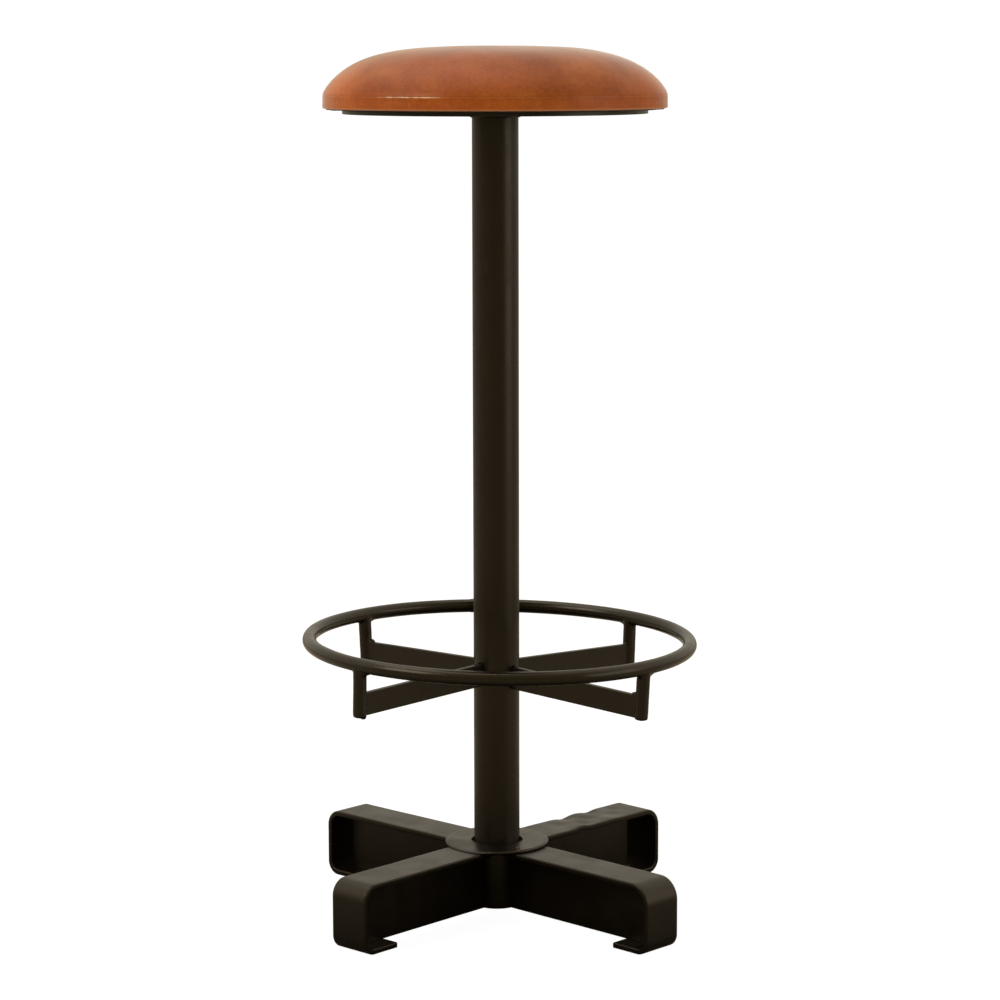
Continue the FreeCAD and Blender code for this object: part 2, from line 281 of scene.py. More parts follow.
def waxed_leather():
    """Tan pull-up leather: cloudy colour, fine streaks, closed grain, smoother over the board's edge; a
    painted glint on the ridge, a painted highlight on the hem and painted side light.
    """
    f = Finish("waxed_leather", IOR=1.26, Sheen_Weight=0.90, Sheen_Roughness=0.25,
               Sheen_Tint=(1.0, 0.95, 0.90, 1.0))
    clouds = f.noise(15.0, 5.0, 0.58, 0.5)
    tan = f.ramp(clouds, [(0.32, (0.330, 0.060, 0.005)), (0.46, (0.430, 0.090, 0.009)),
                          (0.60, (0.500, 0.120, 0.014)), (0.76, (0.585, 0.176, 0.034))])
    tan = f.mixed(f.ranged(f.noise(46.0, 4.0, 0.6, 0.8), 0.42, 0.70, 0.0, 0.30), tan, (0.215, 0.040, 0.004))
    streaks = f.noise(1.0, 6.0, 0.66, 1.6, f.stretched((160.0, 70.0, 110.0), (0, 0, 0.5)))
    tan = f.mixed(f.ranged(streaks, 0.44, 0.70, 0.0, 0.24), tan, (0.520, 0.200, 0.075))
    mottle = f.ranged(f.noise(430.0, 3.0, 0.68), 0.34, 0.62, 0.32, 0.0)
    tan = f.mixed(mottle, tan, (0.190, 0.042, 0.010))
    across = f.node("ShaderNodeSeparateXYZ", {"Vector": f.place}).outputs["X"]
    warped = f.math("ADD", across, f.ranged(f.noise(9.0, 3.0), 0.0, 1.0, -26 * MM, 26 * MM))
    # Painted side light with darker patches of the hide: from left to right the colour is darkened in the
    # middle and kept full at the far left and right, and the upright band below the ridge keeps most of its
    # colour.
    painted_light_and_patches = f.ramp(f.ranged(warped, SEAT_LOW.x, SEAT_HIGH.x, 0.0, 1.0), [
        (0.03, (1.00, 1.00, 1.00)), (0.14, (0.66, 0.63, 0.60)), (0.34, (0.74, 0.73, 0.71)),
        (0.52, (0.71, 0.71, 0.69)), (0.66, (0.58, 0.56, 0.52)), (0.74, (0.66, 0.65, 0.62)),
        (0.84, (0.64, 0.63, 0.59)), (0.94, (1.00, 1.00, 1.00))])
    height = f.heights()
    dome_only = f.ranged(height, BOARD_HIGH.z - 3 * MM, BOARD_HIGH.z + 5 * MM, 0.30, 1.0)
    tan = f.mixed(dome_only, tan, painted_light_and_patches, "MULTIPLY")
    # Painted highlight: a lighter line along the bottom of the hem, where light catches the rolled corner.
    hem = f.ranged(height, SEAT_LOW.z + 2.2 * MM, SEAT_LOW.z + 0.8 * MM, 0.0, 0.65)
    tan = f.mixed(hem, tan, (0.560, 0.250, 0.120))
    over_edge = f.math("ABSOLUTE", f.math("SUBTRACT", height, BOARD_HIGH.z + 0.2 * MM), 0.0)
    from_glint = f.math("ABSOLUTE", f.math("ADD", across, GLINT_LEFT), 0.0)
    glint_side = f.ranged(from_glint, 18 * MM, 30 * MM, 1.0, 0.05)
    glint_spots = f.math("MULTIPLY", f.ranged(f.noise(120.0, 5.0, 0.75), 0.40, 0.56, 0.15, 1.0), glint_side)
    # Painted highlight: a pale glint line along the ridge, left of the middle and broken into spots, stands
    # in for the key light catching the board's edge.
    painted_glint = f.math("MULTIPLY", f.ranged(over_edge, 0.20 * MM, 0.70 * MM, 1.0, 0.0), glint_spots)
    f.set("Base Color", f.mixed(painted_glint, tan, (0.860, 0.640, 0.470)))
    burnish = f.math("MULTIPLY", f.ranged(over_edge, 0.8 * MM, 7.0 * MM, 1.0, 0.0), glint_spots)
    dull = f.ranged(f.noise(34.0, 4.0, 0.6), 0.3, 0.7, 0.36, 0.50)
    f.set("Roughness", f.math("SUBTRACT", dull, f.math("MULTIPLY", burnish, 0.18)))
    pebbles = f.cells(760.0, "SMOOTH_F1")
    grain = f.bumped(f.noise(1700.0, 3.0, 0.6), 0.10, 0.12 * MM)
    f.set("Normal", f.bumped(pebbles, 0.16, 0.16 * MM, grain))
    return f.material


def black_wire():
    """Lacquered black staple wire, bare where the driver struck it."""
    f = Finish("black_wire", Metallic=0.6)
    struck = f.ranged(f.noise(700.0, 4.0), 0.55, 0.70, 0.0, 1.0)
    f.set("Base Color", f.mixed(struck, (0.010, 0.010, 0.010), (0.120, 0.115, 0.105)))
    f.set("Roughness", f.ranged(struck, 0.0, 1.0, 0.42, 0.30))
    f.set("Normal", f.bumped(f.noise(900.0, 3.0), 0.2, 0.05 * MM))
    return f.material


def non_woven_cloth():
    """Black spun-bonded polypropylene: a grid of pressed dimples over matted fibres."""
    f = Finish("non_woven_cloth", IOR=1.4, Sheen_Weight=0.12, Sheen_Roughness=0.6)
    fibres = f.noise(900.0, 4.0, 0.7, 1.2)
    f.set("Base Color", f.ramp(fibres, [(0.3, (0.008, 0.008, 0.009)), (0.75, (0.030, 0.029, 0.030))]))
    f.set("Roughness", f.ranged(fibres, 0.3, 0.7, 0.75, 0.95))
    dimples = f.ranged(f.cells(700.0, "F1", 0.0), 0.12, 0.34, 0.0, 1.0)
    f.set("Normal", f.bumped(dimples, 0.45, 0.25 * MM, f.bumped(fibres, 0.3, 0.1 * MM)))
    return f.material


def zinc_steel():
    """Bright zinc plating with a fine drawn grain and dull spots."""
    f = Finish("zinc_steel", Metallic=1.0)
    drawn = f.noise(1.0, 4.0, 0.6, 0.0, f.stretched((300.0, 300.0, 2600.0)))
    f.set("Base Color", f.ramp(drawn, [(0.3, (0.42, 0.41, 0.38)), (0.7, (0.62, 0.61, 0.57))]))
    f.set("Roughness", f.ranged(f.noise(260.0, 4.0), 0.3, 0.7, 0.26, 0.46))
    f.set("Normal", f.bumped(drawn, 0.08, 0.05 * MM))
    return f.material


def pressed_felt():
    """Dark grey felt: matted, uneven and without gloss."""
    f = Finish("pressed_felt", Specular_IOR_Level=0.15, Sheen_Weight=0.25, Sheen_Roughness=0.7)
    mat = f.noise(700.0, 6.0, 0.75, 1.6)
    f.set("Base Color", f.ramp(mat, [(0.3, (0.010, 0.009, 0.008)), (0.75, (0.050, 0.046, 0.042))]))
    f.set("Roughness", f.ranged(mat, 0.3, 0.7, 0.85, 1.0))
    f.set("Normal", f.bumped(mat, 0.6, 0.35 * MM))
    return f.material


def birch_plywood():
    """Raw birch plywood: veneers that show as layers on the edge, and long grain on the faces."""
    f = Finish("birch_plywood", Specular_IOR_Level=0.3)
    grain = f.noise(1.0, 5.0, 0.6, 0.8, f.stretched((30.0, 420.0, 30.0)))
    face = f.ramp(grain, [(0.3, (0.36, 0.23, 0.12)), (0.7, (0.56, 0.40, 0.24))])
    plies = f.node("ShaderNodeTexWave", {"Vector": f.place, "Scale": 210.0, "Distortion": 1.2,
                                         "Detail": 2.0}, bands_direction="Z").outputs["Fac"]
    f.set("Base Color", f.mixed(f.ranged(plies, 0.4, 0.6, 0.0, 0.45), face, (0.24, 0.14, 0.07)))
    f.set("Roughness", f.ranged(grain, 0.3, 0.7, 0.55, 0.75))
    f.set("Normal", f.bumped(grain, 0.3, 0.15 * MM))
    return f.material


PAINT = frame_paint("frame_paint", 0.27, 0.40)
RUBBED_PAINT = frame_paint("rubbed_paint", 0.16, 0.30)
OVERSPRAY = paint_overspray()
LEATHER = waxed_leather()
CLOTH = non_woven_cloth()
ZINC = zinc_steel()
WIRE = black_wire()
FELT = pressed_felt()
PLYWOOD = birch_plywood()


def dress_cad_nodes():
    finishes = {"seat_board": PLYWOOD, "tee_nuts": ZINC, "staples": WIRE, "seat_screws": ZINC}
    for name, node in NODES.items():
        finish = finishes.get(name, FELT if name.startswith("floor_pad") else PAINT)
        node.data.materials.clear()
        node.data.materials.append(finish)


# ---- seat ----

CAP_RINGS = 34
DOME_ROWS = 26
DOME_RADIAL_POWER = 3.75
DOME_HEIGHT_POWER = 0.72
CAP_SHARE = 0.80
PUFF = 1.2 * MM
PUFF_LIMIT = 3.0 * MM
SIM_FRAMES = 20
RIDGE_PROUD = 0.30 * MM
CROWN_PROUD = 1.3 * MM
RIM_RISE = 0.9 * MM
HEM_CORNER = 1.6 * MM
HEM_STEPS = 6
HEM_TUCK = 0.6 * MM
SKIN_GAP = 0.1 * MM
SKIN_LIFT = 0.05 * MM
FOLDS_ROUND = 96
PLEATS_ROUND = 48

# Depths in millimetres: the hide's long and short waves, its slack over the ridge, the folds of the
# band and the pleats underneath.
LONG_WAVES, SHORT_WAVES = 0.35, 0.10
RIDGE_SLACK, FOLD_DEPTH, PLEAT_DEPTH = 0.35, 0.07, 0.18

# The seat's side below the dome: inset from the full radius, height above the board's top, in mm.
SIDE_STEPS = ((0.30, 0.45), (0.10, 0.05), (0.0, -0.45), (0.05, -1.1), (0.16, -2.2), (0.20, -4.0),
              (0.12, -6.0), (0.02, -8.0))

# Where the leather lies flat under the seat and where it turns up, in shares of the full radius.
HEM_SHARES = (0.975, 0.955, 0.93, 0.90, 0.87, 0.83, 0.79, 0.775)
HEM_END = 0.77


def dome_height(share, low, high):
    """The dome's height at a share of its radius, from low at the rim to high in the middle."""
    return low + (high - low) * max(0.0, 1 - share ** DOME_RADIAL_POWER) ** DOME_HEIGHT_POWER


def ring_of(radius, height, count):
    return [polar(2 * math.pi * i / count, radius, height) for i in range(count)]


def disc_cap(profile, points, faces):
    """A disc of quads made of square rings bent into circles; profile gives (radius, height) per ring.
    Returns the vertex row of its outermost ring, which has eight times as many points as rings."""
    rows = []
    for i, (radius, height) in enumerate(profile):
        row = list(range(len(points), len(points) + max(1, 8 * i)))
        points.extend(ring_of(radius, height, len(row)))
        rows.append(row)
    for i in range(1, len(rows)):
        inner, outer = rows[i - 1], rows[i]
        for side in range(4):
            for k in range(2 * i):
                a = side * 2 * i + k
                b = (a + 1) % len(outer)
                if k < 2 * i - 1:
                    c = (side * (2 * i - 2) + k) % len(inner)
                    if k == 0:
                        before = outer[(a - 1) % len(outer)]
                        faces.append((before, outer[a], outer[b], inner[c]))
                    else:
                        d = (side * (2 * i - 2) + k - 1) % len(inner)
                        faces.append((inner[d], outer[a], outer[b], inner[c]))
    return rows[-1]


def cushion_profile():
    """(radius, height) rows from the cap's edge down to the rim."""
    rim, crown = BOARD_HIGH.z, SEAT_HIGH.z - PUFF
    radius = SEAT_RADIUS - RIDGE_PROUD
    start = math.asin(CAP_SHARE)
    rows = []
    for i in range(1, DOME_ROWS + 1):
        share = math.sin(start + (math.pi / 2 - start) * i / DOME_ROWS)
        rows.append((radius * share, dome_height(share, rim + RIM_RISE, crown)))
    return rows


def rim_profile():
    """The ridge over the board's edge, the upright band, the rolled hem and the fold underneath."""
    rim, hem, full = BOARD_HIGH.z, SEAT_LOW.z, SEAT_RADIUS
    rows = [(full - inset * MM, rim + height * MM) for inset, height in SIDE_STEPS]
    for i in range(1, HEM_STEPS + 1):
        turn = math.pi / 2 * i / HEM_STEPS
        rows.append((full - HEM_CORNER * (1 - math.cos(turn)), hem + HEM_CORNER * (1 - math.sin(turn))))
    rows += [(full * share, hem + SKIN_LIFT) for share in HEM_SHARES]
    inner, outer = full * HEM_END, BOARD_RADIUS + SKIN_GAP
    under = BOARD_LOW.z + SKIN_LIFT
    return rows + [(inner, hem + HEM_TUCK), (inner, under), (BOARD_RADIUS * 0.9, under), (outer, under),
                   (outer, rim + SKIN_LIFT)]


def next_row(points, faces, edge, radius, height):
    """One more ring of points, joined with quads to the row edge."""
    row = list(range(len(points), len(points) + len(edge)))
    points.extend(ring_of(radius, height, len(edge)))
    faces.extend(band_faces(edge, row))
    return row


def cushion_mesh():
    """The leather and foam as one closed skin round the board.
    Returns points, faces and the index of the first point that the simulation holds still."""
    points, faces = [], []
    crown = SEAT_HIGH.z - PUFF
    radius = SEAT_RADIUS - RIDGE_PROUD
    cap = []
    for i in range(CAP_RINGS + 1):
        share = CAP_SHARE * i / CAP_RINGS
        cap.append((radius * share, dome_height(share, BOARD_HIGH.z + RIM_RISE, crown)))
    edge = disc_cap(cap, points, faces)
    for r, z in cushion_profile():
        edge = next_row(points, faces, edge, r, z)
    free = len(points) - 2 * len(edge)
    for r, z in rim_profile():
        edge = next_row(points, faces, edge, r, z)
    reach, height = BOARD_RADIUS + SKIN_GAP, BOARD_HIGH.z + SKIN_LIFT
    bottom = disc_cap([(reach * i / CAP_RINGS, height) for i in range(CAP_RINGS + 1)], points, faces)
    swap = dict(zip(bottom, edge))
    faces = [tuple(swap.get(v, v) for v in face) for face in faces]
    return points, faces, free


def relax_with_cloth(piece, free):
    """The leather is blown up against its foam by a short cloth simulation, then capped and kept."""
    mesh = piece.data
    start = [v.co.copy() for v in mesh.vertices]
    group = piece.vertex_groups.new(name="held")
    group.add(list(range(free, len(start))), 1.0, "ADD")
    cloth = piece.modifiers.new("Cloth", "CLOTH")
    settings = cloth.settings
    settings.quality = 5
    settings.mass = 0.4
    settings.tension_stiffness = settings.compression_stiffness = 40.0
    settings.shear_stiffness = 20.0
    settings.bending_stiffness = 6.0
    settings.use_pressure = True
    settings.uniform_pressure_force = 4.0
    settings.vertex_group_mass = "held"
    settings.effector_weights.gravity = 0.0
    cloth.point_cache.frame_start = 1
    cloth.point_cache.frame_end = SIM_FRAMES
    scene = bpy.context.scene
    for step in range(1, SIM_FRAMES + 1):
        scene.frame_set(step)
    evaluated = piece.evaluated_get(bpy.context.evaluated_depsgraph_get())
    moved = [v.co.copy() for v in evaluated.data.vertices]
    piece.modifiers.remove(cloth)
    piece.vertex_groups.remove(group)
    scene.frame_set(1)
    for vertex, before, after in zip(mesh.vertices, start, moved):
        step = after - before
        if step.length > PUFF_LIMIT:
            step *= PUFF_LIMIT / step.length
        vertex.co = before + step


def settle_leather(piece):
    """Detail after the simulation: a level crown, slack over the ridge and small tension folds."""
    mesh = piece.data
    crown = max(v.co.z for v in mesh.vertices)
    rise = SEAT_HIGH.z + CROWN_PROUD - crown
    rim = BOARD_HIGH.z
    for vertex in mesh.vertices:
        co = vertex.co
        radius = math.hypot(co.x, co.y)
        if radius < 1e-6:
            co.z += rise if co.z > rim + 2 * MM else 0.0
            continue
        turn = math.atan2(co.y, co.x)
        out = Vector((co.x / radius, co.y / radius, 0))
        outer = radius > BOARD_RADIUS + 0.6 * MM or co.z > rim + 1.5 * MM
        if not outer and co.z > SEAT_LOW.z + 0.9 * MM:
            continue
        lift = smoothstep(rim + 1 * MM, crown - 6 * MM, co.z)
        co.z += rise * lift
        hide = wave(co, 22.0, 1) * LONG_WAVES + wave(co, 60.0, 2) * SHORT_WAVES
        push = out * (1 - lift) * 0.4 + UP * lift
        co += push * hide * MM * smoothstep(rim, rim + 14 * MM, co.z)
        near_ridge = math.exp(-((co.z - rim + 0.3 * MM) / (1.3 * MM)) ** 2)
        sharp = 0.5 + 0.5 * wave((math.cos(turn) * 3, math.sin(turn) * 3, 0.3), 2.2, 3)
        co -= out * near_ridge * (1 - sharp) * RIDGE_SLACK * MM
        below = 1 - smoothstep(rim - 2 * MM, rim - 0.5 * MM, co.z)
        fold = math.sin(turn * FOLDS_ROUND + 3 * wave_round(turn, 0, 3.0, 4))
        co += out * below * fold * FOLD_DEPTH * MM
        if co.z < SEAT_LOW.z + 0.5 * MM:
            pleat = 0.5 + 0.5 * math.sin(turn * PLEATS_ROUND + 4 * wave_round(turn, 0, 2.0, 5))
            co.z += pleat * PLEAT_DEPTH * MM * smoothstep(0.99 * SEAT_RADIUS, 0.93 * SEAT_RADIUS, radius)


def seat_cushion():
    points, faces, free = cushion_mesh()
    piece = make_piece("seat_cushion", points, faces, LEATHER, "leather")
    relax_with_cloth(piece, free)
    settle_leather(piece)
    smooth = piece.modifiers.new("Subdivision", "SUBSURF")
    smooth.levels = smooth.render_levels = 1
    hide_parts("seat_cover", "seat_foam")


# ---- welds ----

BEAD_STEP = 0.8 * MM
BEAD_PITCH = 2.6 * MM
BEAD_SIDES = 8
BEAD_SUNK = 0.35 * MM

# A bead's unevenness, its ripple and the size of its tapered ends, in shares of its leg.
BEAD_UNEVEN, BEAD_RIPPLE, BEAD_END = 0.14, 0.05, 0.35


def bead_solid(path, arms, leg, seed, closed=False, crown=0.16):
    """A weld bead along a corner. arms gives, per point, the two directions along the joined faces and
    the direction the bead faces."""
    sections = []
    run = 0.0
    total = sum((b - a).length for a, b in zip(path, path[1:]))
    for i, spot in enumerate(path):
        if i:
            run += (spot - path[i - 1]).length
        a, b, away = arms[i]
        ripple = 0.5 + 0.5 * math.cos(2 * math.pi * run / BEAD_PITCH + 2 * wave(spot, 90.0, seed))
        size = leg * (1 + BEAD_UNEVEN * wave(spot, 160.0, seed + 1) + BEAD_RIPPLE * ripple)
        if not closed:
            size *= BEAD_END + (1 - BEAD_END) * smoothstep(0, 2 * leg, min(run, total - run))
        bulge = size * (crown + 0.08 * ripple)
        loop = []
        for k in range(BEAD_SIDES):
            t = k / (BEAD_SIDES - 1)
            rise = bulge * 4 * t * (1 - t) - BEAD_SUNK
            loop.append(spot + a * size * (1 - t) + b * size * t + away * rise)
        loop.append(spot - away * BEAD_SUNK * 2)
        sections.append(loop)
    return tube_solid(sections, closed)


def corner_arms(a, b):
    """The directions along two faces and, between them, the one that a bead in their corner faces."""
    return a, b, (a + b).normalized()


def joined(parts):
    points, faces = [], []
    for more_points, more_faces in parts:
        base = len(points)
        points.extend(more_points)
        faces.extend(tuple(base + v for v in face) for face in more_faces)
    return points, faces


def straight(start, end):
    count = max(6, int((end - start).length / BEAD_STEP))
    return [start.lerp(end, i / count) for i in range(count + 1)]


def circle_bead(radius, height, leg, facing, seed, first=0.0, last=360.0):
    """A bead round the column, on a level face that looks up (facing 1) or down (facing -1)."""
    whole = last - first >= 360.0
    count = max(8, int(math.radians(last - first) * radius / BEAD_STEP))
    turns = [math.radians(first + (last - first) * i / count) for i in range(count + (0 if whole else 1))]
    path = [polar(t, radius, height) for t in turns]
    arms = [corner_arms(polar(t), UP * facing) for t in turns]
    return bead_solid(path, arms, leg, seed, whole)


def arm_direction(node):
    """The level direction in which an arm leaves the column, from where its vertices lie furthest out."""
    spots = [v.co for v in NODES[node].data.vertices]
    reach = max(math.hypot(c.x, c.y) for c in spots)
    level = [c for c in spots if math.hypot(c.x, c.y) > 0.98 * reach]
    middle = sum((Vector((c.x, c.y, 0)) for c in level), Vector()) / len(level)
    return middle.normalized()


def side_of(direction):
    return Vector((-direction.y, direction.x, 0))


def heights_at(node, low_share, high_share):
    """Lowest and highest vertex of a node within a share of its reach from the column."""
    spots = [v.co for v in NODES[node].data.vertices]
    reach = max(math.hypot(c.x, c.y) for c in spots)
    near = [c.z for c in spots if low_share * reach <= math.hypot(c.x, c.y) <= high_share * reach]
    return min(near), max(near)


REST_ARM_HALF = 2.5 * MM
WEB_HALF = 3.0 * MM

# The legs of the weld beads at each kind of joint.
REST_BEAD = 2.0 * MM
REST_CAP_BEAD = 1.6 * MM
WEB_BEAD = 1.3 * MM
STRAP_BEAD = 3.0 * MM
PLATE_BEAD = 4.0 * MM
TACK_BEAD = 3.4 * MM
SPATTER_BEAD = 3.6 * MM


def column_joint(direction, half, low, high, leg, seed):
    """Two upright beads where a flat bar on edge meets the column."""
    parts = []
    out = math.sqrt(COLUMN_RADIUS ** 2 - half ** 2)
    for hand in (-1, 1):
        side = side_of(direction) * hand
        foot = direction * out + side * half
        normal = Vector((foot.x, foot.y, 0)).normalized()
        along = (side - normal * side.dot(normal)).normalized()
        path = straight(foot + UP * low, foot + UP * high)
        parts.append(bead_solid(path, [corner_arms(along, direction)] * len(path), leg, seed + hand))
    return parts


def cap_joint(direction, half, height, leg, seed):
    """A short level bead over the top edge of a flat bar, where it meets the column."""
    side = side_of(direction)
    out = direction * math.sqrt(COLUMN_RADIUS ** 2 - half ** 2) + UP * height
    path = straight(out - side * (half + 0.8 * MM), out + side * (half + 0.8 * MM))
    return bead_solid(path, [corner_arms(direction, UP)] * len(path), leg, seed, crown=0.3)


# ---- ring footrest ----

RING_LOW, RING_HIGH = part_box("footrest_ring")
ROD_RADIUS = 6.5 * MM
RING_SEGMENTS = 288
ROD_SEGMENTS = 28
POST_RADIUS = 6.1 * MM
SEGMENT_SIDES = 24
HOOP_SEAM = math.radians(97.0)
SEAM_RAISED, SEAM_HALF = 0.55 * MM, 2.4 * MM
HOOP_BENT, ROD_UNEVEN, ROD_SHRUNK = 0.30 * MM, 0.07 * MM, 0.10 * MM
FUSE_VOXEL = 0.6 * MM
FUSE_PASSES = 30
FUSE_SWELL = 0.16 * MM
ARM_STUB = 12.5 * MM
ARM_INSET = 0.15 * MM
ROD_INSET = 0.2 * MM
ROD_STEP = math.radians(2.75)
FLARE_ROOT, FLARE_TIP = 4.6 * MM, 2.0 * MM
FLARE_DROP, FLARE_RISE = 0.6 * MM, 2.4 * MM

# How far each post's weld runs along the hoop, ahead of the post and behind it (turning anticlockwise
# seen from above), and the lumps of weld left on its arm or foot: (along the arm, across, up), radius.
FLARES = {"front_right": (12.0, 9.5), "rear_right": (12.0, 7.5), "rear_left": (8.5, 12.0),
          "front_left": (13.0, 8.5)}
LUMPS = {"front_right": [((-7.6, 0.0, 0.4), 2.3)], "rear_right": [],
         "rear_left": [((-7.4, 0.0, 0.8), 2.4)], "front_left": [((-2.2, 2.6, 0.0), 2.2)]}


def ring_frame():
    """Centre, radius and the downward slope along +X of the tilted ring."""
    centre = (RING_LOW + RING_HIGH) / 2
    radius = (RING_HIGH.y - RING_LOW.y) / 2 - ROD_RADIUS
    drop = (RING_HIGH.z - RING_LOW.z) / 2 - ROD_RADIUS
    return centre, radius, math.asin(drop / radius)


def ring_point(turn, tilt, centre, radius):
    return centre + Vector((radius * math.cos(turn) * math.cos(tilt), radius * math.sin(turn),
                            -radius * math.cos(turn) * math.sin(tilt)))


def footrest_hoop():
    """One rod bent round and butt-welded at the rear: a little uneven, with a dressed weld."""
    centre, radius, tilt = ring_frame()
    normal = Vector((math.sin(tilt), 0, math.cos(tilt)))
    sections = []
    for i in range(RING_SEGMENTS):
        turn = 2 * math.pi * i / RING_SEGMENTS
        spot = ring_point(turn, tilt, centre, radius)
        out = (spot - centre).normalized()
        wobble = wave_round(turn, 0.0, 2.1, 11) * HOOP_BENT
        lift = wave_round(turn, 4.0, 1.7, 12) * HOOP_BENT
        gap = abs((turn - HOOP_SEAM + math.pi) % (2 * math.pi) - math.pi) * radius
        weld = SEAM_RAISED * math.exp(-(gap / SEAM_HALF) ** 2)
        loop = []
        for k in range(ROD_SEGMENTS):
            around = 2 * math.pi * k / ROD_SEGMENTS
            aim = out * math.cos(around) + normal * math.sin(around)
            thick = ROD_RADIUS - ROD_SHRUNK + weld * (1 + 0.4 * wave(spot + aim * ROD_RADIUS, 400.0, 13))
            thick += ROD_UNEVEN * wave(spot + aim * 3 * ROD_RADIUS, 55.0, 14)
            loop.append(spot + out * wobble * 0.5 + normal * lift * 0.5 + aim * thick)
        sections.append(loop)
    piece = make_piece("footrest_hoop", *tube_solid(sections, True), RUBBED_PAINT, "frame_paint")
    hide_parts("footrest_ring")


def rod_segment(start, end, radius, end_radius=None):
    """A straight round rod between two points, tapered if its end has another radius."""
    aim = (end - start).normalized()
    across = aim.cross(Vector((0.3, 0.9, 0.1))).normalized()
    other = aim.cross(across)
    sections = []
    turns = [2 * math.pi * k / SEGMENT_SIDES for k in range(SEGMENT_SIDES)]
    for share in (0.0, 0.5, 1.0):
        spot = start.lerp(end, share)
        size = radius + ((end_radius or radius) - radius) * share
        sections.append([spot + (across * math.cos(t) + other * math.sin(t)) * size for t in turns])
    return tube_solid(sections, False)


def flat_segment(start, end, half, height):
    """A flat bar on edge between two points of its lower edge."""
    side = side_of((end - start).normalized()) * half
    up = UP * height
    sections = [[spot - side, spot + side, spot + side + up, spot - side + up] for spot in (start, end)]
    return tube_solid(sections, False)


def fused(name, solids, seed):
    """Solids melted into one skin: voxel remeshed, then smoothed so that inner corners fill like welds."""
    rough = mesh_object("unfused", *joined(solids))
    remesh = rough.modifiers.new("Remesh", "REMESH")
    remesh.mode = "VOXEL"
    remesh.voxel_size = FUSE_VOXEL
    ready = bpy.data.meshes.new_from_object(rough.evaluated_get(bpy.context.evaluated_depsgraph_get()))
    bpy.data.objects.remove(rough)
    bm = bmesh.new()
    bm.from_mesh(ready)
    for _ in range(FUSE_PASSES):
        bmesh.ops.smooth_vert(bm, verts=bm.verts, factor=0.5,
                              use_axis_x=True, use_axis_y=True, use_axis_z=True)
    bm.normal_update()
    for vertex in bm.verts:
        vertex.co += vertex.normal * (FUSE_SWELL + 0.10 * MM * wave(vertex.co, 210.0, seed))
    bm.verts.index_update()
    points = [v.co.copy() for v in bm.verts]
    faces = [tuple(v.index for v in f.verts) for f in bm.faces]
    bm.free()
    bpy.data.meshes.remove(ready)
    return make_piece(name, points, faces, PAINT, "frame_paint")


def post_axis(name):
    """The middle of a post's foot and the middle of its saddle-cut top."""
    spots = [v.co for v in NODES["footrest_post_" + name].data.vertices]
    low, high = min(c.z for c in spots), max(c.z for c in spots)
    foot = [c for c in spots if c.z < low + 1 * MM]
    top = [c for c in spots if c.z > high - 7 * MM]
    return sum(foot, Vector()) / len(foot), sum(top, Vector()) / len(top)


def welded_post(name, seed):
    """A post melted into the underside of the hoop and onto the end of its arm."""
    centre, radius, tilt = ring_frame()
    foot, top = post_axis(name)
    turn = math.atan2(top.y - centre.y, top.x - centre.x)
    rod = [ring_point(turn + ROD_STEP * k, tilt, centre, radius) for k in range(-2, 3)]
    hoop_part = [rod_segment(a, b, ROD_RADIUS - ROD_INSET) for a, b in zip(rod, rod[1:])]
    top.z = rod[2].z
    direction = arm_direction("footrest_arm_" + name)
    arm_low, arm_high = heights_at("footrest_arm_" + name, 0.9, 1.0)
    arm_end = Vector((foot.x, foot.y, arm_low + ARM_INSET))
    arm_start = arm_end - direction * ARM_STUB
    arm = flat_segment(arm_start, arm_end, REST_ARM_HALF - ARM_INSET, arm_high - arm_low - 2 * ARM_INSET)
    post = rod_segment(foot, top, POST_RADIUS)
    along = (rod[3] - rod[1]).normalized()
    under = rod[2] - UP * (ROD_RADIUS + FLARE_DROP)
    ahead, behind = (share * MM for share in FLARES[name])
    rise = UP * FLARE_RISE
    flares = [rod_segment(under, under + along * ahead + rise, FLARE_ROOT, FLARE_TIP),
              rod_segment(under, under - along * behind + rise, FLARE_ROOT, FLARE_TIP)]
    for spot, size in LUMPS[name]:
        near = Vector(spot) * MM
        base = Vector((foot.x, foot.y, arm_high if near.z > 0 else foot.z)) + direction * near.x
        base += side_of(direction) * near.y + UP * near.z
        flares.append(rod_segment(base - direction * size * MM, base + direction * size * MM, size * MM))
    piece = fused("welded_post_" + name, hoop_part + [post, arm] + flares, seed)
    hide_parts("footrest_post_" + name)


def footrest_welds():
    for index, name in enumerate(ARMS):
        arm = "footrest_arm_" + name
        low, high = heights_at(arm, 0.0, 0.2)
        direction = arm_direction(arm)
        foot, top = low + 0.8 * MM, high - 0.8 * MM
        column = column_joint(direction, REST_ARM_HALF, foot, top, REST_BEAD, 20 + index)
        column.append(cap_joint(direction, REST_ARM_HALF, high, REST_CAP_BEAD, 25 + index))
        make_piece("weld_rest_arm_" + name, *joined(column), OVERSPRAY, "frame_paint")
        welded_post(name, 40 + index)


# ---- base ----

STRAP_WIDTH = 41.0 * MM
STRAP_THICKNESS = 5.0 * MM
STRAP_EDGE = 1.1 * MM
STRAP_STEP = 2.5 * MM
TOP_BENDS = {"front_right": 19.0 * MM, "rear_right": 17.0 * MM, "rear_left": 15.0 * MM,
             "front_left": 14.5 * MM}
FLOOR_BEND = 12.5 * MM
LIP_LENGTH = 41.0 * MM
MITRE_HALF_ANGLE = math.radians(43.5)
HUB_BLEND = 40.0 * MM
STRAP_SUNK = 0.2 * MM
ROLLED_WAVES = 0.10 * MM
BEND_STEPS, ACROSS_STEPS, EDGE_STEPS = 14, 14, 5

# How much wider the inside of a bend is than its outside, as a share of the strap's width.
BEND_SPREAD = 0.018

